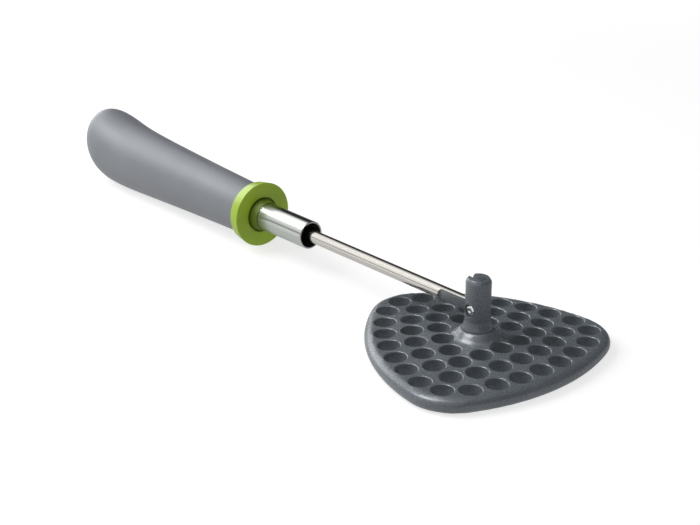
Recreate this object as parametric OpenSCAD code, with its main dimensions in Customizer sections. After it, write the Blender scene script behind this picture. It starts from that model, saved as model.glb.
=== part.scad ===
// Folding potato masher: a three-cornered nylon head on a short post, a steel rod
// that folds flat about a pin in the post, a handle, and a sleeve that slides along
// the rod and drops over the post to hold the rod upright.
// The head lies on z = 0 with the post on the Z axis. The folded rod runs towards -X.

/* [Mashing plate] */
// Thickness of the plate, whose edge is fully round
plate_t = 6.4; // [5:0.1:9]
// Distance from the post's axis to the middle line of the round edge, at a corner
corner_d = 48.2; // [46:0.1:54]
// The same distance at the middle of a side
side_d = 38.5; // [37:0.1:42]
// Radius of that middle line round a corner
corner_r = 16.9; // [12:0.1:20]
// Rise of the crowned top at the middle of the plate
crown_h = 1.6; // [0.4:0.1:3]
// Radius at which the crown runs out into the flat rim
crown_r = 37.5; // [32:0.5:38]
// Diameter of the mashing holes
hole_d = 8.4; // [6:0.1:9]

/* [Rings of holes] */
// Least width of plate between neighbouring holes of the outer ring
outer_web = 1.2; // [0.6:0.1:4]
// Distance from the outer ring's holes out to the middle line of the edge, on a corner
outer_corner_in = 4.4; // [3.5:0.1:6]
// The same at the middle of a side
outer_side_in = 4.7; // [4:0.1:6]
// How square the outer ring is between corner and side
outer_bulge = 1.1; // [0:0.1:2]
// How sharp the outer ring's corners are
outer_peak = 0.3; // [0:0.1:1]
// Angle by which the outer ring's holes crowd towards the corners
outer_lean = 2.7; // [0:0.1:4]
// Least width of plate between neighbouring holes of the middle ring
middle_web = 1; // [0.5:0.1:4]
// Distance from the middle ring's holes out to the outer ring, on a corner
middle_corner_in = 10.2; // [9.6:0.1:11]
// The same at the middle of a side
middle_side_in = 10.3; // [9.6:0.1:11]
// How square the middle ring is between corner and side
middle_bulge = 1.6; // [0.5:0.1:2]
// How sharp the middle ring's corners are
middle_peak = 0.8; // [0:0.1:1]
// Angle by which the middle ring's holes crowd towards the corners
middle_lean = 4.0; // [2:0.1:5]
// Least width of plate between neighbouring holes of the inner ring
inner_web = 0.5; // [0.4:0.1:4]
// Distance from the inner ring's holes out to the middle ring, on a corner
inner_corner_in = 11.4; // [10:0.1:12]
// The same at the middle of a side
inner_side_in = 10.3; // [9.6:0.1:11]
// How square the inner ring is between corner and side
inner_bulge = 2.1; // [1.5:0.1:2.5]
// How sharp the inner ring's corners are
inner_peak = 0; // [0:0.1:0.5]
// Angle by which the inner ring's holes crowd towards the corners
inner_lean = 7.6; // [6:0.1:9]

/* [Boss under the post] */
// Height of the boss above the plate's rim
boss_h = 4.7; // [3.5:0.1:7]
// Radius at which the boss runs out into the plate
boss_r = 10.6; // [9:0.1:12]
// How early the boss's S curve drops away from its top, where 1 is an even curve
boss_swell = 0.62; // [0.55:0.01:1]

/* [Pivot post] */
// Diameter of the post
post_d = 9.8; // [8.6:0.1:11]
// Height of the post's top above the hinge pin
post_above_pin = 12.3; // [10:0.1:16]
// Height of the hinge pin above the plate's rim
pin_above_plate = 12.9; // [12:0.1:18]
// Diameter of the post's flared foot
foot_d = 12.2; // [12:0.1:14]
// Height of the foot's straight edge
foot_edge = 0.5; // [0.3:0.1:1]
// Height over which the post flares into its foot
flare_h = 3.4; // [2:0.1:3.8]
// Bevel round the post's top, measured inwards
top_bevel_w = 0.7; // [0.3:0.1:1.2]
// Bevel round the post's top, measured down
top_bevel_h = 1.3; // [0.4:0.1:2]
// Diameter of the spigot that seats in the plate
spigot_d = 7.8; // [6:0.1:9]
// Solid floor left under the spigot
spigot_floor = 1.6; // [1:0.1:3]
// Distance of the slot's closed end past the post's axis
slot_back = 3.4; // [3.2:0.1:3.8]

/* [Hinge pin] */
// Diameter of the pin's shank
pin_d = 3.0; // [2:0.1:3.4]
// Diameter of the pin's two domed heads
pin_head_d = 4.0; // [3.8:0.1:4.8]
// Diameter of the recess round each head
pin_recess_d = 5.2; // [5:0.1:6]
// Depth at which each head sits on its ear, measured from the post's axis
pin_head_seat = 3.3; // [2.8:0.1:3.6]
// Height of a head's straight edge
pin_head_edge = 0.5; // [0.3:0.1:0.8]
// Height of a head's dome
pin_head_dome = 0.7; // [0.3:0.1:0.8]

/* [Rod] */
// Diameter of the steel rod
rod_d = 5.3; // [4.6:0.1:5.6]
// Thickness of the flattened tang
tang_t = 2.9; // [2:0.1:3.4]
// Distance from the pin to the start of the flats
tang_len = 19.5; // [17:0.1:26]
// Radius of the cutter that leaves the curved run-out of the flats
cutter_r = 5; // [3:0.5:8]
// Radius of the eye round the pin
eye_r = 3.1; // [2.9:0.1:3.3]
// Distance from the pin over which the eye narrows to the rod
eye_taper = 8; // [6:0.5:12]
// Length of rod held inside the handle
rod_grip = 68; // [40:1:76]

/* [Sleeve] */
// Distance from the pin to the tube's mouth when the sleeve is parked
mouth_t = 99.5; // [70:0.5:130]
// Length of the steel tube
tube_len = 36.7; // [34:0.1:50]
// Outside diameter of the tube
tube_d = 11.8; // [11.2:0.1:12]
// Wall of the tube
tube_wall = 0.7; // [0.4:0.1:0.8]
// Radius of the neck's thin lip round the tube
neck_lip = 0.4; // [0.2:0.1:0.8]
// Diameter of the neck where it meets the collar
neck_d = 13.8; // [13.4:0.1:16]
// Length of the neck's cone
neck_cone = 3.2; // [2:0.1:4]
// Length of the neck's straight part in front of the collar
neck_straight = 1.2; // [0.6:0.1:2]
// Largest diameter of the collar, at its front face
collar_d = 28.2; // [24:0.1:29]
// Diameter of the collar at its rear face
collar_rear_d = 26.0; // [22:0.1:28]
// Width of the collar along the rod
collar_w = 5.2; // [4:0.1:7]
// Bevel on the collar's front and rear edges
collar_bevel = 0.5; // [0.2:0.1:0.8]
// Width of the groove between neck and collar
groove_w = 0.7; // [0.3:0.1:1]
// Depth of that groove
groove_h = 1.8; // [0.5:0.1:2.4]
// Length of the guide plug inside the tube
plug_len = 14; // [10:0.5:20]
// Thickness of the rubber friction ring
ring_d = 1.5; // [1:0.1:1.8]

/* [Handle] */
// Length of the handle
handle_len = 117.3; // [90:0.1:140]
// Radius of the handle at its front end
handle_r = 11.0; // [10.6:0.1:12]
// Steady growth of that radius towards the butt
handle_flare = 3.4; // [2:0.1:5]
// Further growth of that radius, mostly near the butt
handle_swell = 1.8; // [0:0.1:3]
// Steady rise of the handle's middle line over the rod
handle_rise = 1.3; // [0:0.1:2]
// Sharp upward turn of the middle line at the butt
butt_kick = 9; // [0:0.5:10]
// Length of the rounded butt
butt_len = 22; // [16:0.5:30]
// Radius of the rigid core at the front of the handle
core_r = 8.4; // [7.5:0.1:9]
// Growth of the core's radius over its length
core_flare = 1.6; // [0:0.1:2]
// Length of the core
core_len = 88; // [80:1:95]
// Rounding of the core's closed end
core_round = 6; // [3:0.5:7]
// Diameter of the spigot on which the parked collar is centred
nose_d = 13; // [11:0.1:13.5]
// Length of that spigot
nose_len = 1.7; // [1:0.1:1.8]
// Diameter of the cross pin that holds the rod in the handle
anchor_d = 3; // [2:0.1:3.2]
// Distance of the cross pin from the rod's rear end
anchor_back = 8; // [5:0.5:15]
// Material left outside each end of the cross pin
anchor_cover = 0.6; // [0.3:0.1:1.5]

/* [Fits] */
// Clearance on each side of the tang in the post's slot
slot_gap = 0.1; // [0.05:0.05:0.3]
// Radial running clearance of the hinge and of the sleeve on the rod
run_gap = 0.05; // [0.02:0.01:0.1]
// Radial clearance between pieces that are pressed or bonded together
seat_gap = 0.03; // [0.02:0.01:0.05]
// Gap between the parked sleeve and the handle
park_gap = 0.3; // [0.2:0.05:0.5]

/* [Hidden] */
nylon = "#4a4f54";
lime = "#9cc02f";
grey = "#84888c";
steel = "#c9cacb";
eps = 0.01;
rim_r = plate_t / 2;

// The plate's outline: three corner arcs joined by three side arcs that touch them.
corner_c = corner_d - corner_r;
side_in = side_d - corner_r;
side_c = (corner_c * corner_c - side_in * side_in) / (2 * side_in - corner_c);
side_r = side_d + side_c;
corner_half = atan2(side_c * sin(60), corner_c + side_c / 2);
side_half = 60 - corner_half;
side_dirs = [0, 120, 240];
side_steps = 14;
corner_steps = 24;
edge_steps = 10;

// Distances of the rings of holes from the axis, on a corner and at the middle of a side
outer_corner = corner_d - outer_corner_in;
outer_side = side_d - outer_side_in;
middle_corner = outer_corner - middle_corner_in;
middle_side = outer_side - middle_side_in;
inner_corner = middle_corner - inner_corner_in;
inner_side = middle_side - inner_side_in;

// The crown is drawn a little past the radius where it dips below the flat rim.
crown_end = crown_r + 0.8;

// Heights on the head
foot_z = plate_t + boss_h;
flare_z = foot_z + foot_edge;
pin_z = plate_t + pin_above_plate;
post_top = pin_z + post_above_pin;
post_r = post_d / 2;
foot_r = foot_d / 2;
rod_r = rod_d / 2;
slot_w = tang_t + 2 * slot_gap;
slot_floor_z = pin_z - eye_r - 3 * slot_gap;

// Distances along the rod from the pin, for the parked sleeve and the handle
tube_r = tube_d / 2;
bore_r = tube_r - tube_wall;
tube_end_t = mouth_t + tube_len;
neck_r = neck_d / 2;
nose_clear = 0.4;
collar_rear_t = tube_end_t + nose_clear + nose_len - park_gap;
collar_front_t = collar_rear_t - collar_w;
neck_base_t = collar_front_t - neck_straight;
neck_tip_t = neck_base_t - neck_cone;
handle_t = collar_rear_t + park_gap;
handle_end_t = handle_t + handle_len;
butt_t = handle_end_t - butt_len;
rod_end_t = handle_t + rod_grip;
anchor_t = rod_end_t - anchor_back;
core_end_t = handle_t + core_len;

// The handle's skin is a row of rings, close together where the butt closes.
skin_sides = 48;
skin_body = 24;
skin_butt = 18;
kick_power = 12;
butt_power = 3;
skin_t = concat(
    [for (i = [0 : skin_body - 1]) handle_t + (butt_t - handle_t) * i / skin_body],
    [for (i = [0 : skin_butt - 1]) butt_t + butt_len * sin(90 * i / skin_butt)]
);
skin_n = len(skin_t);

// Tilt of the folded rod at which the handle's belly, or the collar, touches the table
function touch_tilt(t, drop) = asin(pin_z / norm([t, drop])) - atan2(drop, t);
rest_tilt = min(concat(
    [for (t = skin_t) touch_tilt(t, skin_r(t) - skin_lift(t))],
    [touch_tilt(collar_front_t, collar_d / 2)]
));

function crown_z(r) = plate_t + crown_h * (1 - pow(r / crown_r, 2));
function boss_z(x) =
    crown_z(boss_r) + (foot_z - crown_z(boss_r)) * (1 + cos(180 * pow(x, boss_swell))) / 2;
function polar(r, a) = [r * cos(a), r * sin(a)];
function ring_angle(i, n, lean) = 60 + 360 * i / n - lean * sin(1080 * i / n);
function ring_radius(a, corner, side, bulge, peak) =
    (corner + side) / 2 - bulge
    + ((corner - side) / 2 - peak) * cos(3 * a)
    + bulge * cos(6 * a)
    + peak * cos(9 * a);
function share(t) = (t - handle_t) / handle_len;
function butt_close(t) = pow(1 - pow(max(0, (t - butt_t) / butt_len), butt_power), 1 / butt_power);
function skin_r(t) = (handle_r + handle_flare * share(t) + handle_swell * pow(share(t), 2)) * butt_close(t);
function skin_lift(t) = handle_rise * share(t) + butt_kick * pow(share(t), kick_power);

// Carries a shape drawn along +Z from the pin onto the folded rod; its +X points up.
module on_rod() {
    translate([0, 0, pin_z]) rotate([0, -90 - rest_tilt, 0]) children();
}

// As many holes as the ring's length carries, in threes to suit the three corners
module ring_of_holes(web, corner, side, bulge, peak, lean) {
    n = 3 * floor(PI * (corner + side) / (3 * (hole_d + web)));
    for (i = [0 : n - 1]) {
        a = ring_angle(i, n, lean);
        xy = polar(ring_radius(a - 60, corner, side, bulge, peak), a);
        translate([xy[0], xy[1], -1]) cylinder(d = hole_d, h = plate_t + boss_h, $fn = 48);
    }
}

// The plate with its half-round edge: one outline for each level of the edge
module plate_body() {
    outline = concat([for (a = side_dirs) each concat(
        [for (i = [0 : side_steps - 1]) [-polar(side_c, a), side_r, a - side_half + 2 * side_half * i / side_steps]],
        [for (i = [0 : corner_steps - 1])
            [polar(corner_c, a + 60), corner_r, a + 60 - corner_half + 2 * corner_half * i / corner_steps]]
    )]);
    n = len(outline);
    levels = [for (k = [0 : edge_steps]) -90 + 180 * k / edge_steps];
    points = [for (b = levels) for (q = outline)
        let (xy = q[0] + polar(q[1] + rim_r * cos(b), q[2])) [xy[0], xy[1], rim_r + rim_r * sin(b)]];
    polyhedron(points, concat(
        [[for (i = [0 : n - 1]) i]],
        [for (k = [0 : edge_steps - 1]) for (i = [0 : n - 1]) let (a = k * n + i, b = k * n + (i + 1) % n)
            [a, a + n, b + n, b]],
        [[for (i = [n - 1 : -1 : 0]) edge_steps * n + i]]
    ));
}

// The crowned top and the boss, drawn as one turned shape
module crown_and_boss() {
    boss_steps = 10;
    crown_steps = 5;
    boss_top_r = foot_r - 0.1;
    rotate_extrude($fn = 180) polygon(concat(
        [[0, rim_r], [0, foot_z]],
        [for (i = [0 : boss_steps]) let (x = i / boss_steps) [boss_top_r + (boss_r - boss_top_r) * x, boss_z(x)]],
        [for (i = [1 : crown_steps]) let (r = boss_r + (crown_end - boss_r) * i / crown_steps) [r, crown_z(r)]],
        [[crown_end, rim_r]]
    ));
}

module mashing_plate() {
    color(nylon) difference() {
        union() {
            plate_body();
            crown_and_boss();
        }
        ring_of_holes(outer_web, outer_corner, outer_side, outer_bulge, outer_peak, outer_lean);
        ring_of_holes(middle_web, middle_corner, middle_side, middle_bulge, middle_peak, middle_lean);
        ring_of_holes(inner_web, inner_corner, inner_side, inner_bulge, inner_peak, inner_lean);
        translate([0, 0, spigot_floor]) cylinder(r = spigot_d / 2 + seat_gap, h = foot_z, $fn = 96);
    }
}

module pivot_post() {
    flare_steps = 6;
    color(nylon) difference() {
        rotate_extrude($fn = 120) polygon(concat(
            [
                [0, spigot_floor + seat_gap],
                [spigot_d / 2, spigot_floor + seat_gap],
                [spigot_d / 2, foot_z],
                [foot_r, foot_z]
            ],
            [for (i = [0 : flare_steps]) [
                post_r + (foot_r - post_r) * pow(1 - i / flare_steps, 1.6),
                flare_z + flare_h * i / flare_steps
            ]],
            [
                [post_r, post_top - top_bevel_h],
                [post_r - top_bevel_w, post_top],
                [0, post_top]
            ]
        ));
        translate([-post_d, -slot_w / 2, slot_floor_z]) cube([post_d + slot_back, slot_w, post_top]);
        translate([0, 0, pin_z]) rotate([90, 0, 0]) {
            cylinder(r = pin_d / 2 + seat_gap, h = 2 * post_d, center = true, $fn = 64);
            for (side = [0, 1]) mirror([0, 0, side]) translate([0, 0, pin_head_seat])
                cylinder(d = pin_recess_d, h = post_d, $fn = 64);
        }
    }
}

module hinge_pin() {
    head_r = pin_head_d / 2;
    dome_top = pin_head_seat + pin_head_edge + pin_head_dome;
    dome_steps = 6;
    half = concat(
        [[0, 0], [pin_d / 2, 0], [pin_d / 2, pin_head_seat + seat_gap], [head_r, pin_head_seat + seat_gap]],
        [for (i = [0 : dome_steps]) [
            head_r * cos(90 * i / dome_steps),
            dome_top - pin_head_dome * (1 - sin(90 * i / dome_steps))
        ]]
    );
    color(steel) translate([0, 0, pin_z]) rotate([90, 0, 0])
        for (side = [0, 1]) mirror([0, 0, side]) rotate_extrude($fn = 64) polygon(half);
}

module shaft_rod() {
    runout = sqrt(pow(cutter_r, 2) - pow(cutter_r - (rod_r - tang_t / 2), 2));
    flat_end_t = tang_len - runout;
    color(steel) on_rod() difference() {
        union() {
            difference() {
                cylinder(r = rod_r, h = rod_end_t, $fn = 96);
                for (side = [0, 1]) mirror([0, side, 0]) rotate([0, 90, 0])
                    linear_extrude(2 * rod_d, center = true) mirror([1, 0]) {
                        translate([-rod_d, tang_t / 2]) square([flat_end_t + rod_d, rod_d]);
                        translate([flat_end_t, tang_t / 2 + cutter_r]) circle(r = cutter_r, $fn = 96);
                    }
            }
            rotate([90, 0, 0]) linear_extrude(tang_t, center = true) {
                circle(r = eye_r, $fn = 96);
                polygon([[-eye_r, 0], [-rod_r, eye_taper], [rod_r, eye_taper], [eye_r, 0]]);
            }
        }
        rotate([90, 0, 0]) cylinder(r = pin_d / 2 + run_gap, h = 2 * rod_d, center = true, $fn = 64);
        translate([0, 0, anchor_t]) rotate([90, 0, 0])
            cylinder(r = anchor_d / 2 + seat_gap, h = 2 * rod_d, center = true, $fn = 64);
    }
}

// Outside of the handle's core, with room to spare for the pocket that takes it
module core_shape(gap) {
    round_steps = 5;
    tip_r = core_r + core_flare;
    rotate_extrude($fn = 96) polygon(concat(
        [[0, handle_t - eps], [core_r + gap, handle_t - eps], [core_r + gap, handle_t]],
        [for (i = [0 : round_steps]) [
            tip_r + gap - core_round * (1 - cos(90 * i / round_steps)),
            core_end_t + gap - core_round * (1 - sin(90 * i / round_steps))
        ]],
        [[0, core_end_t + gap]]
    ));
}

module handle_core() {
    color("#3b3e41") on_rod() difference() {
        union() {
            core_shape(0);
            translate([0, 0, handle_t - nose_len]) cylinder(d = nose_d, h = 2 * nose_len, $fn = 96);
        }
        cylinder(r = rod_r + seat_gap, h = rod_end_t + seat_gap, $fn = 96);
        translate([0, 0, anchor_t]) rotate([90, 0, 0])
            cylinder(r = anchor_d / 2 + seat_gap, h = 2 * core_r - 2 * anchor_cover, center = true, $fn = 64);
    }
}

module handle_grip() {
    tip = [[skin_lift(handle_end_t), 0, handle_end_t]];
    rings = [for (t = skin_t) for (i = [0 : skin_sides - 1])
        [skin_lift(t) + skin_r(t) * cos(360 * i / skin_sides), skin_r(t) * sin(360 * i / skin_sides), t]];
    last = (skin_n - 1) * skin_sides;
    color(grey) on_rod() difference() {
        polyhedron(concat(rings, tip), concat(
            [[for (i = [0 : skin_sides - 1]) i]],
            [for (k = [0 : skin_n - 2]) for (i = [0 : skin_sides - 1]) let (
                j = (i + 1) % skin_sides,
                a = k * skin_sides + i,
                b = k * skin_sides + j
            ) [a, a + skin_sides, b + skin_sides, b]],
            [for (i = [0 : skin_sides - 1]) [last + i, len(rings), last + (i + 1) % skin_sides]]
        ));
        core_shape(seat_gap);
    }
}

module rod_anchor_pin() {
    color(steel) on_rod() translate([0, 0, anchor_t]) rotate([90, 0, 0])
        cylinder(d = anchor_d, h = 2 * core_r - 2 * anchor_cover - 2 * seat_gap, center = true, $fn = 64);
}

module sleeve_tube() {
    color(steel) on_rod() translate([0, 0, mouth_t]) difference() {
        cylinder(r = tube_r, h = tube_len, $fn = 96);
        translate([0, 0, -eps]) cylinder(r = bore_r, h = tube_len + 1, $fn = 96);
    }
}

module neck_bush() {
    color(lime) on_rod() rotate_extrude($fn = 120) polygon([
        [tube_r + seat_gap, neck_tip_t],
        [tube_r + neck_lip, neck_tip_t],
        [neck_r, neck_base_t],
        [neck_r, tube_end_t],
        [tube_r + seat_gap, tube_end_t]
    ]);
}

module grip_collar() {
    front_r = collar_d / 2;
    rear_r = collar_rear_d / 2;
    color(lime) on_rod() rotate_extrude($fn = 120) polygon([
        [neck_r + groove_w, collar_front_t],
        [front_r - collar_bevel, collar_front_t],
        [front_r, collar_front_t + collar_bevel],
        [rear_r, collar_rear_t - collar_bevel],
        [rear_r - collar_bevel, collar_rear_t],
        [neck_r + seat_gap, collar_rear_t],
        [neck_r + seat_gap, collar_front_t + groove_h],
        [neck_r + groove_w, collar_front_t + groove_h]
    ]);
}

module guide_plug() {
    groove_r = rod_r + run_gap + ring_d + seat_gap;
    groove_len = ring_d + 2 * seat_gap;
    color("#2a2c2e") on_rod() translate([0, 0, tube_end_t - plug_len]) difference() {
        cylinder(r = bore_r - seat_gap, h = plug_len, $fn = 96);
        translate([0, 0, -1]) cylinder(r = rod_r + run_gap, h = plug_len + 2, $fn = 96);
        translate([0, 0, plug_len / 2 - groove_len / 2]) cylinder(r = groove_r, h = groove_len, $fn = 96);
    }
}

module friction_ring() {
    color("#1c1c1c") on_rod() translate([0, 0, tube_end_t - plug_len / 2])
        rotate_extrude($fn = 96) translate([rod_r + run_gap + ring_d / 2, 0]) circle(d = ring_d, $fn = 32);
}

mashing_plate();
pivot_post();
hinge_pin();
shaft_rod();
handle_core();
handle_grip();
rod_anchor_pin();
sleeve_tube();
neck_bush();
grip_collar();
guide_plug();
friction_ring();
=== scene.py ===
import bpy
import math
from mathutils import Matrix, Vector
from mathutils.geometry import delaunay_2d_cdt


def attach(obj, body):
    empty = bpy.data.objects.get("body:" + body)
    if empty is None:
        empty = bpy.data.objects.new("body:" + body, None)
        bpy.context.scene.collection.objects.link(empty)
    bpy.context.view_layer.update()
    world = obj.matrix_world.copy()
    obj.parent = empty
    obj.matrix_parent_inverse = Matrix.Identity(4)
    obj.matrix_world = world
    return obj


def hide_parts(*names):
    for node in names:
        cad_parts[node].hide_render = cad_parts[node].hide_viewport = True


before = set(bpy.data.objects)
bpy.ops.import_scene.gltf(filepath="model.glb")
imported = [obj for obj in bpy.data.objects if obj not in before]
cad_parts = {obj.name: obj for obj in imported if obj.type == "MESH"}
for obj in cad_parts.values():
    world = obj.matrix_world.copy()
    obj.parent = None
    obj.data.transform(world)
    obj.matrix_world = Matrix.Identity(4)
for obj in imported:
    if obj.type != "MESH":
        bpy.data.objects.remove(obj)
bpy.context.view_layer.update()  # the solids, already in place
mm = 0.001
seatGap = 0.03  # mm between pieces that are fast to each other
scene = bpy.context.scene

# Camera and light
photoView = dict(
    lens=90.55,  # mm
    sensor=36,  # mm wide
    position=(425.2, -419.4, 298.05),  # mm
    azimuth=49.98,
    elevation=23.62,
)
studio = dict(
    white="#ffffff",
    brightSide=(-0.25, -0.75, 0.60),  # the pale wall of the room lies this way
    matt=(0.24, 0.36),  # light on matt surfaces from the far side and from the pale wall
    fade=(-0.05, 0.75),  # where between the two sides the light starts and stops growing
    gloss=(0.04, 1.4),  # the two sides as polished surfaces mirror them
    glossFade=(0.08, 0.66),
    horizon=(-0.05, 0.42),  # the mirrored wall darkens towards the floor
    horizonGloss=(0.17, 1.0),
    windows=(  # bright patches, seen in mirrored light only: where, how bright, and their soft edge
        ((-0.96, 0.08, 0.27), 3.6, (0.90, 0.965)),
        ((-0.30, -0.44, 0.85), 14.0, (0.92, 0.97)),
    ),
    floorHalf=3000,  # mm
    floorDrop=0.02,  # mm below the object
    floorSeen=(0.70, 1.0),  # share of the floor's white that no shadow can take, near the object and far off
    floorClear=(350, 1000),  # how far from the post the floor starts and stops turning plain white, in mm
    floorGloss=(0.08, 0.92),  # behind the object, and in front of it
    floorFade=(150, -220),  # where along Y the mirrored floor starts and stops growing, in mm
    floorMatt=0.40,
    floorPaint=0.42,
)
lamps = (  # places, aims and sizes in mm, power in watts
    dict(name="softboxKey", place=(-520, -440, 650), aim=(-40, 0, 10), size=(700, 700), power=6.9),
    dict(name="softboxRight", place=(620, 520, 230), aim=(0, 0, 5), size=(500, 300), power=0.9),
)
easing = {"interpolation_type": "SMOOTHSTEP"}
noiseSpan = (0.3, 0.7)  # most of a noise texture's values lie between these


def linear(code):
    # sRGB hex to the linear values that the shaders take
    parts = [int(code[i:i + 2], 16) / 255 for i in (1, 3, 5)]
    return [p / 12.92 if p <= 0.04045 else ((p + 0.055) / 1.055) ** 2.4 for p in parts] + [1]


def grey(v):
    return [v, v, v, 1]


def span(value, start, levels):
    # inputs of a map range that grows from one level to the other while the value runs from start to end
    return {
        "Value": value,
        "From Min": start[0],
        "From Max": start[1],
        "To Min": levels[0],
        "To Max": levels[1],
    }


def addNode(tree, kind, settings=None, inputs=None, stops=None):
    # one node, with its settings, a value or another node's output for its sockets, and a ramp's two colours
    node = tree.nodes.new(kind)
    for key, value in (settings or {}).items():
        setattr(node, key, value)
    for key, value in (inputs or {}).items():
        if isinstance(value, bpy.types.NodeSocket):
            tree.links.new(value, node.inputs[key])
        else:
            node.inputs[key].default_value = value
    if stops:
        for element, position, colour in zip(node.color_ramp.elements, noiseSpan, stops):
            element.position = position
            element.color = colour
    return node


def makeCamera():
    data = bpy.data.cameras.new("photoCamera")
    data.lens = photoView["lens"]
    data.sensor_width = photoView["sensor"]
    data.clip_start = 0.01
    data.clip_end = 20
    camera = bpy.data.objects.new("photoCamera", data)
    az = math.radians(photoView["azimuth"])
    el = math.radians(photoView["elevation"])
    back = Vector((math.sin(az) * math.cos(el), -math.cos(az) * math.cos(el), math.sin(el)))
    camera.location = Vector(photoView["position"]) * mm
    camera.rotation_mode = "QUATERNION"
    camera.rotation_quaternion = (-back).to_track_quat("-Z", "Y")
    scene.collection.objects.link(camera)
    scene.camera = camera


def byRay(tree, matt, gloss, seen):
    # one strength for matt surfaces, one for mirrored rays and one for what the camera sees
    path = addNode(tree, "ShaderNodeLightPath").outputs
    level = addNode(tree, "ShaderNodeMix", None, {"Factor": path["Is Glossy Ray"], "A": matt, "B": gloss})
    rays = {0: path["Is Camera Ray"], 1: path["Is Transmission Ray"]}
    direct = addNode(tree, "ShaderNodeMath", {"operation": "MAXIMUM"}, rays)
    both = {"Factor": direct.outputs[0], "A": level.outputs[0], "B": seen}
    return addNode(tree, "ShaderNodeMix", None, both).outputs[0]


def makeRoom():
    # the room is pale on one side and dim on the other, with two windows
    world = bpy.data.worlds.new("studio")
    world.use_nodes = True
    scene.world = world
    tree = world.node_tree
    tree.nodes.clear()
    place = addNode(tree, "ShaderNodeTexCoord").outputs["Generated"]
    dot = {"operation": "DOT_PRODUCT"}
    side = {0: place, 1: Vector(studio["brightSide"]).normalized()}
    towards = addNode(tree, "ShaderNodeVectorMath", dot, side).outputs["Value"]
    matt = addNode(tree, "ShaderNodeMapRange", easing, span(towards, studio["fade"], studio["matt"]))
    wall = addNode(tree, "ShaderNodeMapRange", easing, span(towards, studio["glossFade"], studio["gloss"]))
    height = addNode(tree, "ShaderNodeSeparateXYZ", None, {0: place}).outputs["Z"]
    low = addNode(tree, "ShaderNodeMapRange", easing, span(height, studio["horizon"], studio["horizonGloss"]))
    parts = {0: wall.outputs[0], 1: low.outputs[0]}
    gloss = addNode(tree, "ShaderNodeMath", {"operation": "MULTIPLY"}, parts)
    for where, level, edge in studio["windows"]:
        side = {0: place, 1: Vector(where).normalized()}
        towards = addNode(tree, "ShaderNodeVectorMath", dot, side).outputs["Value"]
        window = addNode(tree, "ShaderNodeMapRange", easing, span(towards, edge, (0, level)))
        parts = {0: gloss.outputs[0], 1: window.outputs[0]}
        gloss = addNode(tree, "ShaderNodeMath", {"operation": "ADD"}, parts)
    strength = byRay(tree, matt.outputs[0], gloss.outputs[0], 1.0)
    glow = {"Color": linear(studio["white"]), "Strength": strength}
    light = addNode(tree, "ShaderNodeBackground", None, glow)
    addNode(tree, "ShaderNodeOutputWorld", None, {"Surface": light.outputs[0]})


def whitePaperFloor():
    # White backdrop paper: matt, and it keeps a soft shadow near the object
    mat = bpy.data.materials.new("whitePaperFloor")
    mat.use_nodes = True
    tree = mat.node_tree
    tree.nodes.clear()
    paint = addNode(tree, "ShaderNodeBsdfDiffuse", None, {"Color": grey(studio["floorPaint"])})
    spot = addNode(tree, "ShaderNodeTexCoord").outputs["Object"]
    along = addNode(tree, "ShaderNodeSeparateXYZ", None, {0: spot}).outputs["Y"]
    fade = [y * mm for y in studio["floorFade"]]
    near = addNode(tree, "ShaderNodeMapRange", easing, span(along, fade, studio["floorGloss"]))
    distance = addNode(tree, "ShaderNodeVectorMath", {"operation": "LENGTH"}, {0: spot}).outputs["Value"]
    clear = [d * mm for d in studio["floorClear"]]
    seen = addNode(tree, "ShaderNodeMapRange", easing, span(distance, clear, studio["floorSeen"]))
    strength = byRay(tree, studio["floorMatt"], near.outputs[0], seen.outputs[0])
    glow = addNode(tree, "ShaderNodeEmission", None, {"Color": linear(studio["white"]), "Strength": strength})
    both = addNode(tree, "ShaderNodeAddShader", None, {0: paint.outputs[0], 1: glow.outputs[0]})
    addNode(tree, "ShaderNodeOutputMaterial", None, {"Surface": both.outputs[0]})
    return mat


def makeFloor():
    half = studio["floorHalf"]
    low = -studio["floorDrop"]
    corners = [(-half, -half, low), (half, -half, low), (half, half, low), (-half, half, low)]
    floor = addMesh("studioFloor", corners, [(0, 1, 2, 3)])
    floor.data.materials.append(whitePaperFloor())


def makeLamps():
    for look in lamps:
        data = bpy.data.lights.new(look["name"], "AREA")
        data.shape = "RECTANGLE"
        data.size = look["size"][0] * mm
        data.size_y = look["size"][1] * mm
        data.energy = look["power"]
        lamp = bpy.data.objects.new(look["name"], data)
        lamp.location = Vector(look["place"]) * mm
        lamp.visible_glossy = False  # the room's wall and windows are what shows in polished surfaces
        lamp.rotation_mode = "QUATERNION"
        lamp.rotation_quaternion = (Vector(look["aim"]) - Vector(look["place"])).to_track_quat("-Z", "Y")
        scene.collection.objects.link(lamp)


# Meshes
def addMesh(name, verts, faces, matrix=None):
    # verts are in mm
    points = [Vector(v) for v in verts]
    if matrix is not None:
        points = [matrix @ p for p in points]
    mesh = bpy.data.meshes.new(name)
    mesh.from_pydata([p * mm for p in points], [], faces)
    mesh.validate()
    obj = bpy.data.objects.new(name, mesh)
    scene.collection.objects.link(obj)
    return obj


def smooth(obj, angle):
    obj.data.shade_smooth()
    obj.data.set_sharp_from_angle(angle=math.radians(angle))
    mod = obj.modifiers.new("weightedNormals", "WEIGHTED_NORMAL")
    mod.keep_sharp = True
    mod.weight = 80


def circle(r, sides):
    turns = [2 * math.pi * i / sides for i in range(sides)]
    return [(r * math.cos(a), r * math.sin(a)) for a in turns]


def polar(r, degrees):
    return Vector((r * math.cos(math.radians(degrees)), r * math.sin(math.radians(degrees))))


def bridge(a, b, flip=False):
    # the four-sided faces between two loops of as many points
    n = len(a)
    if flip:
        return [(a[(i + 1) % n], a[i], b[i], b[(i + 1) % n]) for i in range(n)]
    return [(a[i], a[(i + 1) % n], b[(i + 1) % n], b[i]) for i in range(n)]


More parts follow.
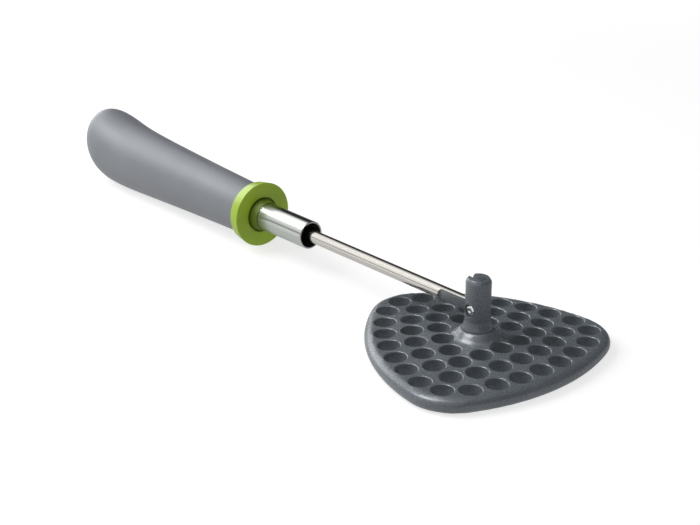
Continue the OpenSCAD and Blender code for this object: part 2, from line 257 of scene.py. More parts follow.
def nextLoop(verts, count):
    # the numbers that the next points will get
    return list(range(len(verts), len(verts) + count))


def roundCorners(points):
    # points are (x, y, radius) round a closed outline; each corner with a radius becomes an arc
    steps = 5
    out = []
    for i, (x, y, radius) in enumerate(points):
        p = Vector((x, y))
        if radius <= 0:
            out.append(p)
            continue
        a = (Vector(points[i - 1][:2]) - p).normalized()
        b = (Vector(points[(i + 1) % len(points)][:2]) - p).normalized()
        half = a.angle(b) / 2
        run = radius / math.tan(half)
        centre = p + (a + b).normalized() * (radius / math.sin(half))
        first = p + a * run - centre
        sweep = first.angle_signed(p + b * run - centre)
        for k in range(steps + 1):
            turn = -sweep * k / steps
            x = first.x * math.cos(turn) - first.y * math.sin(turn)
            y = first.x * math.sin(turn) + first.y * math.cos(turn)
            out.append(centre + Vector((x, y)))
    return [(p.x, p.y) for p in out]


def turned(outline, sides=128):
    # turns a closed outline of (radius, height) points round the Z axis
    verts, rings = [], []
    for r, h in outline:
        if r < 1e-6:
            rings.append([len(verts)])
            verts.append((0, 0, h))
        else:
            rings.append(nextLoop(verts, sides))
            verts += [(x, y, h) for x, y in circle(r, sides)]
    faces = []
    for a, b in zip(rings, rings[1:] + rings[:1]):
        if len(a) == 1 and len(b) == 1:
            continue
        if len(a) == 1:
            faces += [(a[0], b[(i + 1) % sides], b[i]) for i in range(sides)]
        elif len(b) == 1:
            faces += [(a[i], a[(i + 1) % sides], b[0]) for i in range(sides)]
        else:
            faces += bridge(a, b)
    return verts, faces


def addCylinder(name, r, low, high, matrix):
    return addMesh(name, *turned([(0, low), (r, low), (r, high), (0, high)], 64), matrix)


def addBox(name, low, high):
    plan = ((low[0], low[1]), (high[0], low[1]), (high[0], high[1]), (low[0], high[1]))
    verts = [(x, y, z) for z in (low[2], high[2]) for x, y in plan]
    faces = [(3, 2, 1, 0), (4, 5, 6, 7), (0, 1, 5, 4), (1, 2, 6, 5), (2, 3, 7, 6), (3, 0, 4, 7)]
    return addMesh(name, verts, faces)


def cutAway(obj, cutters):
    for cutter in cutters:
        mod = obj.modifiers.new("cut", "BOOLEAN")
        mod.operation = "DIFFERENCE"
        mod.object = cutter
        mod.solver = "EXACT"
    bpy.context.view_layer.update()
    graph = bpy.context.evaluated_depsgraph_get()
    mesh = bpy.data.meshes.new_from_object(obj.evaluated_get(graph))
    obj.modifiers.clear()
    old = obj.data
    obj.data = mesh
    mesh.name = obj.name
    bpy.data.meshes.remove(old)
    for cutter in cutters:
        bpy.data.objects.remove(cutter)


def dress(obj, material, body, node):
    # the piece gets its finish, rides on its body and takes the place of its solid
    if not obj.data.materials:
        obj.data.materials.append(material)
    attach(obj, body)
    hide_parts(node)


# Mashing plate, sizes in mm
plate = dict(
    thick=6.4,
    cornerD=48.2,  # from the axis to the middle line of the edge, on a corner and at the middle of a side
    sideD=38.5,
    cornerR=16.9,
    crownH=1.6,
    crownR=37.5,
    crownEase=0.12,  # how softly the crown runs out into the flat rim
    holeR=4.2,
    holeEdge=0.5,  # radius of the rounded mouths of the holes
    lip=2.2,  # how far the flat skins run past the middle line of the edge
    arcSteps=39,
    edgeSteps=16,
    holeSides=56,
    filletSteps=6,
)
boss = dict(height=4.7, topR=6.1, swell=0.85, meetR=10.3, gridR=8.4, sides=96, steps=22)
rings = (
    dict(n=24, corner=43.8, side=33.8, bulge=1.1, peak=0.3, lean=2.7),
    dict(n=18, corner=33.6, side=23.5, bulge=1.6, peak=0.8, lean=4.0),
    dict(n=12, corner=22.2, side=13.2, bulge=2.1, peak=0.0, lean=7.6),
)
grid = dict(  # rings of extra points that keep the crown and the boss's foot round
    near=(8.8, 9.2, 9.7, 10.2, 10.8, 11.6),
    start=12.6,
    step=1.35,
    rings=29,
    gap=1.5,
    clear=0.22,  # least distance from the mouth of a hole
    margin=0.5,  # least distance from the end of the flat skin
)


def plateArcs():
    # (centre, radius, middle angle, half angle) of the six arcs of the middle line of the plate's edge
    cornerC = plate["cornerD"] - plate["cornerR"]
    sideIn = plate["sideD"] - plate["cornerR"]
    sideC = (cornerC ** 2 - sideIn ** 2) / (2 * sideIn - cornerC)
    sideR = plate["sideD"] + sideC
    cornerHalf = math.degrees(math.atan2(sideC * math.sin(math.radians(60)), cornerC + sideC / 2))
    arcs = []
    for a in (0, 120, 240):
        arcs.append((-polar(sideC, a), sideR, a, 60 - cornerHalf))
        arcs.append((polar(cornerC, a + 60), plate["cornerR"], a + 60, cornerHalf))
    return arcs


def plateOutline():
    # (centre, radius, angle) for each point round the plate
    steps = plate["arcSteps"]
    out = []
    for c, r, mid, half in plateArcs():
        out += [(c, r, mid - half + 2 * half * i / steps) for i in range(steps)]
    return out


def pastEdge(p):
    # how far p lies outside the middle line of the plate's edge
    best = -10.0
    for c, r, mid, half in plateArcs():
        v = p - c
        off = (math.degrees(math.atan2(v.y, v.x)) - mid + 180) % 360 - 180
        if abs(off) <= half + 1e-6:
            best = max(best, v.length - r)
    return best


def holeCentres():
    out = []
    for ring in rings:
        for i in range(ring["n"]):
            u = 360 * i / ring["n"]
            a = u - ring["lean"] * math.sin(math.radians(3 * u))
            r = (ring["corner"] + ring["side"]) / 2 - ring["bulge"]
            r += ((ring["corner"] - ring["side"]) / 2 - ring["peak"]) * math.cos(math.radians(3 * a))
            r += ring["bulge"] * math.cos(math.radians(6 * a)) + ring["peak"] * math.cos(math.radians(9 * a))
            out.append(polar(r, 60 + a))
    return out


def crownZ(r):
    # the crown, eased into the flat rim over the last few millimetres
    z = plate["crownH"] * (1 - (r / plate["crownR"]) ** 2)
    ease = plate["crownEase"]
    return plate["thick"] + (z + math.sqrt(z * z + ease * ease)) / 2


def bossZ(r):
    # the boss runs from the post's foot down into the crown in one S curve
    x = min(1.0, max(0.0, (r - boss["topR"]) / (boss["meetR"] - boss["topR"])))
    low = crownZ(max(r, boss["meetR"]))
    return low + (plate["thick"] + boss["height"] - low) * (1 + math.cos(math.pi * x ** boss["swell"])) / 2


def bossProfile():
    # (radius, height) from under the post's foot out to where the grid of points begins
    start = boss["topR"] - 0.2
    run = boss["gridR"] - boss["topR"] + 0.2
    radii = [boss["topR"] - 0.6] + [start + run * i / boss["steps"] for i in range(boss["steps"])]
    return [(r, bossZ(r)) for r in radii]


def topZ(x, y):
    r = math.hypot(x, y)
    if r < boss["meetR"]:
        return bossZ(r)
    half = plate["thick"] / 2
    out = max(0.0, pastEdge(Vector((x, y)))) if r > plate["sideD"] - 1 else 0.0
    return crownZ(r) - half + math.sqrt(half ** 2 - out * out)


def lowZ(p):
    # the underside: flat, and round at the edge
    half = plate["thick"] / 2
    out = max(0.0, pastEdge(p)) if p.length > plate["sideD"] - 1 else 0.0
    return half - math.sqrt(half ** 2 - out * out)


def gridPoints(centres):
    radii = list(grid["near"]) + [grid["start"] + grid["step"] * k for k in range(grid["rings"])]
    clear = plate["holeR"] + plate["holeEdge"] + grid["clear"]
    out = []
    for k, r in enumerate(radii):
        count = max(48, int(2 * math.pi * r / grid["gap"]))
        for i in range(count):
            p = polar(r, 360 * (i + 0.5 * (k % 2)) / count)
            if any((p - c).length < clear for c in centres):
                continue
            if pastEdge(p) > plate["lip"] - grid["margin"] or p.length > plate["cornerD"] + plate["lip"]:
                continue
            out.append(p)
    return out


def plateSkin(outline, centres):
    # the flat skin: its points, its triangles, and the loops round the plate, round each hole and the boss
    mouth = plate["holeR"] + plate["holeEdge"]
    sides = plate["holeSides"]
    flat = [c + polar(r + plate["lip"], a) for c, r, a in outline]
    loops = [list(range(len(flat)))]
    for c in centres:
        loops.append(nextLoop(flat, sides))
        flat += [c + polar(mouth, 360 * k / sides) for k in range(sides)]
    loops.append(nextLoop(flat, boss["sides"]))
    flat += [polar(boss["gridR"], 360 * k / boss["sides"]) for k in range(boss["sides"])]
    flat += gridPoints(centres)
    edges = [(loop[k], loop[(k + 1) % len(loop)]) for loop in loops for k in range(len(loop))]
    points, _, tris, origin, _, _ = delaunay_2d_cdt(flat, edges, [], 0, 1e-7)
    source = [o[0] if o else -1 for o in origin]
    owner = {v: name for name, loop in enumerate(loops[1:]) for v in loop}
    triangles = []
    for tri in tris:
        owners = {owner.get(source[v]) for v in tri}
        if len(owners) > 1 or None in owners:  # a triangle with one owner fills a hole or the boss
            triangles.append(tuple(tri))
    newNumber = {source[v]: v for v in range(len(points)) if source[v] >= 0}
    return points, triangles, [[newNumber[v] for v in loop] for loop in loops]


def addPlateEdge(verts, faces, outline, topLoop, count):
    # the half-round edge joins the two skins
    half = plate["thick"] / 2
    steps = plate["edgeSteps"]
    steep = math.degrees(math.acos(2 * plate["lip"] / plate["thick"]))
    previous = topLoop
    for k in range(1, steps):
        b = math.radians(steep - 2 * steep * k / steps)
        loop = nextLoop(verts, len(outline))
        for c, r, a in outline:
            p = c + polar(r + half * math.cos(b), a)
            verts.append((p.x, p.y, half + half * math.sin(b)))
        faces += bridge(previous, loop, flip=True)
        previous = loop
    faces += bridge(previous, [v + count for v in topLoop], flip=True)


def addHole(verts, faces, centre, ring, count):
    # a rounded mouth above, a straight wall, and the same mouth below
    sides = plate["holeSides"]
    steps = plate["filletSteps"]
    edge = plate["holeEdge"]
    high = [verts[v][2] for v in ring]
    low = [verts[v + count][2] for v in ring]
    levels = [(high, -1, k) for k in range(1, steps + 1)] + [(low, 1, k) for k in range(steps, 0, -1)]
    previous = ring
    for heights, way, k in levels:
        a = math.radians(90 * k / steps)
        r = plate["holeR"] + edge * (1 - math.sin(a))
        new = nextLoop(verts, sides)
        for i in range(sides):
            p = centre + polar(r, 360 * i / sides)
            verts.append((p.x, p.y, heights[i] + way * edge * (1 - math.cos(a))))
        faces += bridge(previous, new)
        previous = new
    faces += bridge(previous, [v + count for v in ring])


def addBoss(verts, faces, ring, count):
    # the boss in the middle, with the pocket that takes the post's spigot
    sides = boss["sides"]
    pocket = post["spigotR"] + seatGap
    profile = bossProfile()
    previous = ring
    for r, h in [*reversed(profile), (pocket, profile[0][1]), (pocket, post["floor"])]:
        new = nextLoop(verts, sides)
        verts += [(*polar(r, 360 * i / sides), h) for i in range(sides)]
        faces += bridge(previous, new)
        previous = new
    faces.append(tuple(previous))
    faces.append(tuple(v + count for v in reversed(ring)))


def makePlate():
    outline = plateOutline()
    centres = holeCentres()
    points, triangles, loops = plateSkin(outline, centres)
    count = len(points)
    verts = [(p.x, p.y, topZ(p.x, p.y)) for p in points]
    verts += [(p.x, p.y, lowZ(p)) for p in points]
    faces = triangles + [tuple(v + count for v in reversed(t)) for t in triangles]
    addPlateEdge(verts, faces, outline, loops[0], count)
    for centre, ring in zip(centres, loops[1:-1]):
        addHole(verts, faces, centre, ring, count)
    addBoss(verts, faces, loops[-1], count)
    obj = addMesh("mashingPlate", verts, faces)
    smooth(obj, 50)
    return obj


# Post, pin and rod, sizes in mm
post = dict(
    r=4.9,
    abovePin=12.3,
    pinAbovePlate=12.9,
    footR=5.95,
    footBevel=0.2,
    footEdge=0.5,
    flareH=3.4,
    flarePower=1.6,
    flareSteps=12,
    bevelW=0.7,
    bevelH=1.3,
    topRound=((0, 0.22), (0.12, 0.06), (0.3, 0)),  # steps inwards and down that round off the bevel
    spigotR=3.9,
    floor=1.6,
    slotBack=3.4,
    slotW=3.1,
    softEdge=0.14,
)
pin = dict(
    r=1.5,
    headR=2.0,
    recessR=2.6,
    dimple=0.32,
    dimpleFall=2.2,  # how fast the dimple fades towards the head's edge
    seat=3.3,
    edge=0.5,
    dome=0.7,
    steps=24,
)
rod = dict(
    r=2.65,
    tang=2.9,  # thickness across the flats
    tangLen=19.5,
    cutter=1.8,  # radius of the cutter that leaves the flats' curved ends
    eyeR=3.1,
    eyeTaper=8.0,
    grip=68.0,  # length inside the handle
    tilt=1.5035,  # degrees
    arcSteps=20,
    flatSteps=4,
)
pinZ = plate["thick"] + post["pinAbovePlate"]
alongRod = Matrix.Translation((0, 0, pinZ)) @ Matrix.Rotation(math.radians(-90 - rod["tilt"]), 4, "Y")
alongPin = Matrix.Translation((0, 0, pinZ)) @ Matrix.Rotation(math.radians(90), 4, "X")


def postOutline():
    # (radius, height) up the post: spigot, foot, flare, and a bevel at the top
    r, footR = post["r"], post["footR"]
    footZ = plate["thick"] + boss["height"]
    flareZ = footZ + post["footEdge"]
    top = pinZ + post["abovePin"]
    low = post["floor"] + seatGap
    out = [(0, low), (post["spigotR"], low), (post["spigotR"], footZ)]
    out += [(footR - post["footBevel"], footZ), (footR, footZ + post["footBevel"])]
    for i in range(post["flareSteps"] + 1):
        flare = r + (footR - r) * (1 - i / post["flareSteps"]) ** post["flarePower"]
        leanIn = 0.05 if i == 0 else 0
        out.append((flare - leanIn, flareZ + post["flareH"] * i / post["flareSteps"]))
    out += [(r, top - post["bevelH"] - 0.25), (r - 0.05, top - post["bevelH"])]
    out += [(r - post["bevelW"] - inwards, top - down) for inwards, down in post["topRound"]]
    return out + [(0, top)]


def makePost():
    reach = 10  # how far the cutters run out of the post
    top = pinZ + post["abovePin"]
    half = post["slotW"] / 2
    obj = addMesh("pivotPost", *turned(postOutline()))
    slotLow = (-12, -half, pinZ - rod["eyeR"] - 0.3)
    cutters = [addBox("slotCutter", slotLow, (post["slotBack"], half, top + 5))]
    cutters.append(addCylinder("pinCutter", pin["r"] + seatGap, -reach, reach, alongPin))
    for low, high in ((-reach, -pin["seat"]), (pin["seat"], reach)):
        cutters.append(addCylinder("recessCutter", pin["recessR"], low, high, alongPin))
    cutAway(obj, cutters)
    bevel = obj.modifiers.new("edges", "BEVEL")
    bevel.width = post["softEdge"] * mm
    bevel.segments = 2
    bevel.limit_method = "ANGLE"
    bevel.angle_limit = math.radians(55)
    smooth(obj, 40)
    return obj


def makePin():
    headR, seat = pin["headR"], pin["seat"]
    top = seat + pin["edge"] + pin["dome"]
    half = [(pin["r"], seat + seatGap), (headR - 0.1, seat + seatGap), (headR, seat + 0.13)]
    for i in range(pin["steps"] + 1):
        a = math.radians(90 * i / pin["steps"])
        r = headR * math.cos(a)
        dome = top - pin["dome"] * (1 - math.sin(a))
        # staking the pin leaves a small dimple in the middle of its head
        half.append((r, dome - pin["dimple"] * math.exp(-(pin["dimpleFall"] * r / headR) ** 2)))
    obj = addMesh("hingePin", *turned([(r, -h) for r, h in reversed(half)] + half, 64), alongPin)
    smooth(obj, 40)
    return obj


def rodHalfHeight(t):
    # half the rod's height, seen from the side: round its eye, then easing down to the bar
    if t < 0:
        return math.sqrt(max(0.0, rod["eyeR"] ** 2 - t * t))
    return max(rod["r"], rod["eyeR"] + (rod["r"] - rod["eyeR"]) * t / rod["eyeTaper"])


def rodHalfWidth(t):
    # half its thickness across the flats, with the cutter's curved run-out
    rise = rod["r"] - rod["tang"] / 2
    runout = math.sqrt(rod["cutter"] ** 2 - (rod["cutter"] - rise) ** 2)
    start = rod["tangLen"] - runout
    if t <= start:
        return rod["tang"] / 2
    if t >= rod["tangLen"]:
        return rod["r"]
    return rod["tang"] / 2 + rod["cutter"] - math.sqrt(rod["cutter"] ** 2 - (t - start) ** 2)


def rodSection(t):
    # the outline across the rod: an arc, a flat, and the same again
    arc, face = rod["arcSteps"], rod["flatSteps"]
    high = rodHalfHeight(t)
    wide = min(rodHalfWidth(t), rod["r"] * 0.9995)
    flat = math.asin(wide / rod["r"])  # angle at which the flat starts
    out = []
    for way in (1, -1):
        for i in range(arc + 1):
            a = way * (-flat + 2 * flat * i / arc)
            crown = math.cos(a) if t > -0.01 else 0.9 + 0.1 * math.cos(a)
            out.append((way * high * crown, rod["r"] * math.sin(a)))
        corner = high * crown
        out += [(way * (corner - 2 * corner * i / face), way * wide) for i in range(1, face)]
    return out


def makeRod(bar, milled):
    end = handle["start"] + rod["grip"]
    places = [-rod["eyeR"] * math.cos(math.radians(90 * i / 10)) for i in range(1, 10)]
    places += [rod["eyeTaper"] * i / 4 for i in range(5)] + [11, 13, 14]
    places += [15 + 4.6 * i / 24 for i in range(25)] + [22, 40, 70, 100, 130, 160, 190, end - 0.4]
    verts = [(x, y, t) for t in places for x, y in rodSection(t)]
    per = len(verts) // len(places)
    verts += [(x * 0.9, y * 0.9, end) for x, y, _ in verts[-per:]]
    loops = [range(k * per, (k + 1) * per) for k in range(len(places) + 1)]
    faces = []
    for a, b in zip(loops, loops[1:]):
        faces += bridge(a, b)
    faces += [tuple(reversed(loops[0])), tuple(loops[-1])]
    obj = addMesh("steelRod", verts, faces, alongRod)
    # the milled flats beside the eye are rougher than the drawn bar, and darker in colour: painted reflection
    # of the dark plate
    obj.data.materials.append(bar)
    obj.data.materials.append(milled)
    arc, face = rod["arcSteps"], rod["flatSteps"]
    for k, t in enumerate(places[1:]):
        if t <= rod["tangLen"]:
            for i in [*range(arc, arc + face), *range(per - face, per)]:
                obj.data.polygons[k * per + i].material_index = 1
    smooth(obj, 30)
    return obj


# Sleeve and handle, sizes in mm along the rod from the pin
sleeve = dict(
    mouth=99.5,
    length=36.7,
    r=5.9,
    wall=0.7,
    lip=0.4,
    neckR=6.9,
    neckTip=128.4,
    neckBase=131.6,
    front=132.2,
    rear=138.0,
    frontR=13.95,
    rearR=13.0,
    groove=0.7,
    grooveDeep=1.8,
)
handle = dict(
    start=138.3,
    length=117.3,
    r=11.0,
    flare=3.4,
    swell=1.8,
    rise=1.3,
    kick=9.0,
    kickPower=12,
    butt=22.0,
    buttPower=3,
    coreR=8.43,
    coreFlare=1.6,
    coreLen=88.0,
    coreRound=6.0,
    frontRound=0.9,
    sides=112,
)


def makeTube():
    r = sleeve["r"]
    bore = r - sleeve["wall"]
    a = sleeve["mouth"]
    b = a + sleeve["length"]
    outline = roundCorners([(bore, a, 0.15), (r, a, 0.28), (r, b, 0.1), (bore, b, 0.1)])
    obj = addMesh("sleeveTube", *turned(outline), alongRod)
    smooth(obj, 60)
    return obj


def makeNeck():
    bore = sleeve["r"] + seatGap
    outline = roundCorners([
        (bore, sleeve["neckTip"], 0.1),
        (sleeve["r"] + sleeve["lip"], sleeve["neckTip"], 0.15),
        (sleeve["neckR"], sleeve["neckBase"], 0.6),
        (sleeve["neckR"], sleeve["mouth"] + sleeve["length"], 0.1),
        (bore, sleeve["mouth"] + sleeve["length"], 0.1),
    ])
    obj = addMesh("sleeveNeck", *turned(outline), alongRod)
    smooth(obj, 50)
    return obj


def makeCollar():
    # a groove runs round the neck in the collar's front
    inner = sleeve["neckR"] + sleeve["groove"]
    bore = sleeve["neckR"] + seatGap
    outline = roundCorners([
        (inner, sleeve["front"], 0.15),
        (sleeve["frontR"], sleeve["front"], 0.3),
        (sleeve["rearR"], sleeve["rear"], 0.5),
        (bore, sleeve["rear"], 0.1),
        (bore, sleeve["front"] + sleeve["grooveDeep"], 0),
        (inner, sleeve["front"] + sleeve["grooveDeep"], 0),
    ])
    obj = addMesh("gripCollar", *turned(outline, 160), alongRod)
    smooth(obj, 50)
    return obj


def skinR(t):
    # the handle's radius: it swells towards the butt and closes round it
    s = (t - handle["start"]) / handle["length"]
    e = max(0.0, (t - (handle["start"] + handle["length"] - handle["butt"])) / handle["butt"])
    close = max(0.0, 1 - e ** handle["buttPower"]) ** (1 / handle["buttPower"])
    return (handle["r"] + handle["flare"] * s + handle["swell"] * s * s) * close


def skinLift(t):
    # how far the handle's middle line rises above the rod's, with the butt's upward turn
    s = (t - handle["start"]) / handle["length"]
    return handle["rise"] * s + handle["kick"] * s ** handle["kickPower"]


def skinProfile():
    # (place, radius) from the rounded front edge to just before the tip
    start = handle["start"]
    front = handle["frontRound"]
    butt = start + handle["length"] - handle["butt"]
    out = []
    for i in range(6):
        a = math.radians(90 * i / 5)
        t = start + front * (1 - math.cos(a))
        out.append((t, skinR(t) - front * (1 - math.sin(a))))
    places = [start + front + (butt - start - front) * i / 40 for i in range(1, 40)]
    places += [butt + handle["butt"] * math.sin(math.radians(90 * i / 34)) for i in range(34)]
    return out + [(t, skinR(t)) for t in places]


def corePocket():
    # (radius, place) of the pocket that the core fills
    r = handle["coreR"] + handle["coreFlare"]
    end = handle["start"] + handle["coreLen"] + seatGap
    corner = handle["coreRound"]
    out = [(handle["coreR"], handle["start"])]
    for i in range(9):
        a = math.radians(90 * i / 8)
        out.append((r - corner * (1 - math.cos(a)), end - corner * (1 - math.sin(a))))
    return out


def makeHandle():
    sides = handle["sides"]
    end = handle["start"] + handle["length"]
    verts, faces, rows = [], [], []
    for t, r in skinProfile():
        rows.append(nextLoop(verts, sides))
        verts += [(skinLift(t) + x, y, t) for x, y in circle(r, sides)]
    for a, b in zip(rows, rows[1:]):
        faces += bridge(a, b)
    tip = len(verts)
    verts.append((skinLift(end), 0, end))
    faces += [(rows[-1][i], rows[-1][(i + 1) % sides], tip) for i in range(sides)]
    previous = rows[0]
    for r, t in corePocket():
        new = nextLoop(verts, sides)
        verts += [(x, y, t) for x, y in circle(r, sides)]
        faces += bridge(previous, new, flip=True)
        previous = new
    faces.append(tuple(reversed(previous)))
    obj = addMesh("handleSkin", verts, faces, alongRod)
    smooth(obj, 50)
    return obj


# Materials: patches, grain, lines and depths in mm, roughness from low to high
nylonLook = dict(
    dark="#60666b",
    light="#686e74",
    patch=9,
    grain=0.7,
    rough=(0.22, 0.34),
    bump=0.6,
    depth=0.08,
)
skinLook = dict(
    dark="#74777c",
    light="#7b7e83",
    patch=22,
    grain=0.35,
    rough=(0.40, 0.48),
    bump=0.18,
    depth=0.04,
)
limeLooks = dict(
    collar=dict(dark="#90ad20", light="#98b528", rough=0.36),
    # the neck is the collar's lime, darkened: painted shade that stands in for the collar's shadow on it
    neck=dict(dark="#566916", light="#5c701a", rough=0.52),
    patch=6,
    grain=0.3,
    bump=0.12,
    depth=0.03,
    sink=(1.2, 1.6, 0.3),  # how deep red, green and blue light sink in
)
steelLooks = dict(
    bar=dict(dark="#bdb9b3", light="#d2cfca", rough=0.13, line=0.25, around=0.0),
    tube=dict(dark="#b5b9b4", light="#c6cac6", rough=0.22, line=0.3, around=0.9),
    pin=dict(dark="#cfcfcd", light="#dcdcda", rough=0.05, line=0.2, around=0.0),
    # the milled flats' darker colours are painted reflection of the dark plate; their higher roughness is
    # real
    milled=dict(dark="#808386", light="#8f9294", rough=0.28, line=0.2, around=0.0),
    lineLength=40,
)
hiddenLooks = dict(
    acetal=dict(dark="#1c1d1f", rough=0.45, grain=0.5),
    rubber=dict(dark="#0f0f10", rough=0.7, grain=0.4),
    lighter=1.35,
    bump=0.3,
    depth=0.04,
)


def newMaterial(name):
    mat = bpy.data.materials.new(name)
    mat.use_nodes = True
    tree = mat.node_tree
    tree.nodes.clear()
    return mat, tree, addNode(tree, "ShaderNodeTexCoord").outputs["Object"]


def finishMaterial(tree, inputs):
    shader = addNode(tree, "ShaderNodeBsdfPrincipled", None, inputs)
    addNode(tree, "ShaderNodeOutputMaterial", None, {"Surface": shader.outputs[0]})


def glassFilledNylon():
    # Glass-filled nylon, moulded: dark slate, with a sparkled grain that scatters its highlights
    look = nylonLook
    mat, tree, place = newMaterial("glassFilledNylon")
    patches = {"Vector": place, "Scale": 1 / (look["patch"] * mm), "Detail": 4.0}
    cloud = addNode(tree, "ShaderNodeTexNoise", None, patches).outputs["Fac"]
    # the real grain is finer; it is drawn this coarse so that it shows
    specks = {"Vector": place, "Scale": 1 / (look["grain"] * mm), "Detail": 3.0, "Roughness": 0.65}
    grain = addNode(tree, "ShaderNodeTexNoise", None, specks).outputs["Fac"]
    tones = (linear(look["dark"]), linear(look["light"]))
    colour = addNode(tree, "ShaderNodeValToRGB", None, {"Fac": cloud}, tones)
    rough = addNode(tree, "ShaderNodeValToRGB", None, {"Fac": grain}, [grey(v) for v in look["rough"]])
    relief = {"Height": grain, "Strength": look["bump"], "Distance": look["depth"] * mm}
    bump = addNode(tree, "ShaderNodeBump", None, relief)
    finishMaterial(tree, {
        "Base Color": colour.outputs["Color"],
        "Roughness": rough.outputs["Color"],
        "Normal": bump.outputs[0],
        "IOR": 1.5,
    })
    return mat


def drawnSteel(name, look):
    # Stainless steel: fine lines run along the drawn bar and tube; the milled flats are rougher, and their
    # darker colour is painted reflection
    mat, tree, place = newMaterial(name)
    turn = {"Vector": place, "Rotation": alongRod.to_euler()}
    local = addNode(tree, "ShaderNodeMapping", {"vector_type": "TEXTURE"}, turn)
    line = 1 / (look["line"] * mm)
    stretch = {"Vector": local.outputs[0], "Scale": (line, line, 1 / (steelLooks["lineLength"] * mm))}
    # the real lines are finer; they are drawn this coarse so that they show
    grooves = {"Vector": addNode(tree, "ShaderNodeMapping", None, stretch).outputs[0], "Scale": 1.0}
    grooves.update({"Detail": 3.0, "Roughness": 0.6})
    lines = addNode(tree, "ShaderNodeTexNoise", None, grooves).outputs["Fac"]
    tones = (linear(look["dark"]), linear(look["light"]))
    colour = addNode(tree, "ShaderNodeValToRGB", None, {"Fac": lines}, tones)
    levels = (grey(look["rough"] * 0.8), grey(look["rough"] * 1.25))
    gloss = addNode(tree, "ShaderNodeValToRGB", None, {"Fac": lines}, levels)
    # polishing marks that run around it blur what it mirrors along its length
    marks = addNode(tree, "ShaderNodeTangent", {"direction_type": "RADIAL", "axis": "X"})
    finishMaterial(tree, {
        "Base Color": colour.outputs["Color"],
        "Metallic": 1.0,
        "Roughness": gloss.outputs["Color"],
        "Anisotropic": look["around"],
        "Anisotropic Rotation": 0.25,
        "Tangent": marks.outputs[0],
    })
    return mat


def limePolypropylene(name, look):
    # Polypropylene, moulded: saturated lime, semi-gloss, light sinks in a little
    mat, tree, place = newMaterial(name)
    patches = {"Vector": place, "Scale": 1 / (limeLooks["patch"] * mm), "Detail": 3.0}
    cloud = addNode(tree, "ShaderNodeTexNoise", None, patches).outputs["Fac"]
    specks = {"Vector": place, "Scale": 1 / (limeLooks["grain"] * mm), "Detail": 2.0}
    grain = addNode(tree, "ShaderNodeTexNoise", None, specks).outputs["Fac"]
    tones = (linear(look["dark"]), linear(look["light"]))
    colour = addNode(tree, "ShaderNodeValToRGB", None, {"Fac": cloud}, tones)
    relief = {"Height": grain, "Strength": limeLooks["bump"], "Distance": limeLooks["depth"] * mm}
    bump = addNode(tree, "ShaderNodeBump", None, relief)
    finishMaterial(tree, {
        "Base Color": colour.outputs["Color"],
        "Roughness": look["rough"],
        "Normal": bump.outputs[0],
        "IOR": 1.49,
        "Subsurface Weight": 0.08,
        "Subsurface Radius": [depth * mm for depth in limeLooks["sink"]],
        "Subsurface Scale": 1.0,
    })
    return mat


def softTouchSkin():
    # Elastomer, moulded over the core: mid grey, satin, with a powdery fine grain
    look = skinLook
    mat, tree, place = newMaterial("softTouchElastomer")
    patches = {"Vector": place, "Scale": 1 / (look["patch"] * mm), "Detail": 4.0}
    cloud = addNode(tree, "ShaderNodeTexNoise", None, patches).outputs["Fac"]
    # the real grain is finer; it is drawn this coarse so that it shows
    specks = {"Vector": place, "Scale": 1 / (look["grain"] * mm), "Detail": 3.0, "Roughness": 0.7}
    grain = addNode(tree, "ShaderNodeTexNoise", None, specks).outputs["Fac"]
    tones = (linear(look["dark"]), linear(look["light"]))
    colour = addNode(tree, "ShaderNodeValToRGB", None, {"Fac": cloud}, tones)
    rough = addNode(tree, "ShaderNodeValToRGB", None, {"Fac": grain}, [grey(v) for v in look["rough"]])
    relief = {"Height": grain, "Strength": look["bump"], "Distance": look["depth"] * mm}
    bump = addNode(tree, "ShaderNodeBump", None, relief)
    finishMaterial(tree, {
        "Base Color": colour.outputs["Color"],
        "Roughness": rough.outputs["Color"],
        "Normal": bump.outputs[0],
        "IOR": 1.45,
    })
    return mat


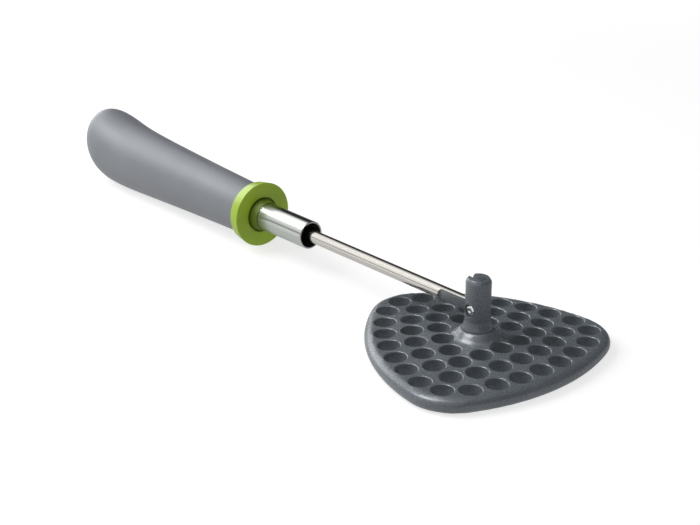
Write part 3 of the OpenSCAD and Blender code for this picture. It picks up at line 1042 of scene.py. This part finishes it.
def darkMoulding(name, look):
    # Black acetal or nitrile rubber, moulded: dull, with a slight spark-eroded texture
    mat, tree, place = newMaterial(name)
    specks = {"Vector": place, "Scale": 1 / (look["grain"] * mm), "Detail": 3.0}
    grain = addNode(tree, "ShaderNodeTexNoise", None, specks).outputs["Fac"]
    base = linear(look["dark"])
    lighter = [c * hiddenLooks["lighter"] for c in base[:3]] + [1]
    colour = addNode(tree, "ShaderNodeValToRGB", None, {"Fac": grain}, (base, lighter))
    relief = {"Height": grain, "Strength": hiddenLooks["bump"], "Distance": hiddenLooks["depth"] * mm}
    bump = addNode(tree, "ShaderNodeBump", None, relief)
    finishMaterial(tree, {
        "Base Color": colour.outputs["Color"],
        "Roughness": look["rough"],
        "Normal": bump.outputs[0],
        "IOR": 1.5,
    })
    return mat


# Put it together
scene.view_settings.view_transform = "Standard"
makeCamera()
makeRoom()
makeFloor()
makeLamps()
print("camera and studio ready")

nylon = glassFilledNylon()
barSteel = drawnSteel("drawnStainlessBar", steelLooks["bar"])
tubeSteel = drawnSteel("polishedStainlessTube", steelLooks["tube"])
pinSteel = drawnSteel("polishedPinHead", steelLooks["pin"])
milledSteelPaintedReflection = drawnSteel("milledStainlessFlatPaintedReflection", steelLooks["milled"])
lime = limePolypropylene("limePolypropylene", limeLooks["collar"])
# the neck's lime is painted shade, darker than the collar's
limePaintedShade = limePolypropylene("limePolypropylenePaintedShade", limeLooks["neck"])
skin = softTouchSkin()
darkPlastic = darkMoulding("blackAcetal", hiddenLooks["acetal"])
rubber = darkMoulding("nitrileRubber", hiddenLooks["rubber"])
print("materials ready")

dress(makePlate(), nylon, "head", "mashing_plate")
print("plate ready")
dress(makePost(), nylon, "head", "pivot_post")
dress(makePin(), pinSteel, "head", "hinge_pin")
print("post and pin ready")
dress(makeRod(barSteel, milledSteelPaintedReflection), barSteel, "shaft", "shaft_rod")
dress(makeHandle(), skin, "shaft", "handle_grip")
print("rod and handle ready")
dress(makeTube(), tubeSteel, "sleeve", "sleeve_tube")
dress(makeNeck(), limePaintedShade, "sleeve", "neck_bush")
dress(makeCollar(), lime, "sleeve", "grip_collar")
print("sleeve ready")

# the solids that keep their own shape get the same detailed finishes
ownShape = dict(
    handle_core=darkPlastic,
    rod_anchor_pin=barSteel,
    guide_plug=darkPlastic,
    friction_ring=rubber,
)
for node, material in ownShape.items():
    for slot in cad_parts[node].material_slots:
        slot.material = material
print("hidden pieces ready")
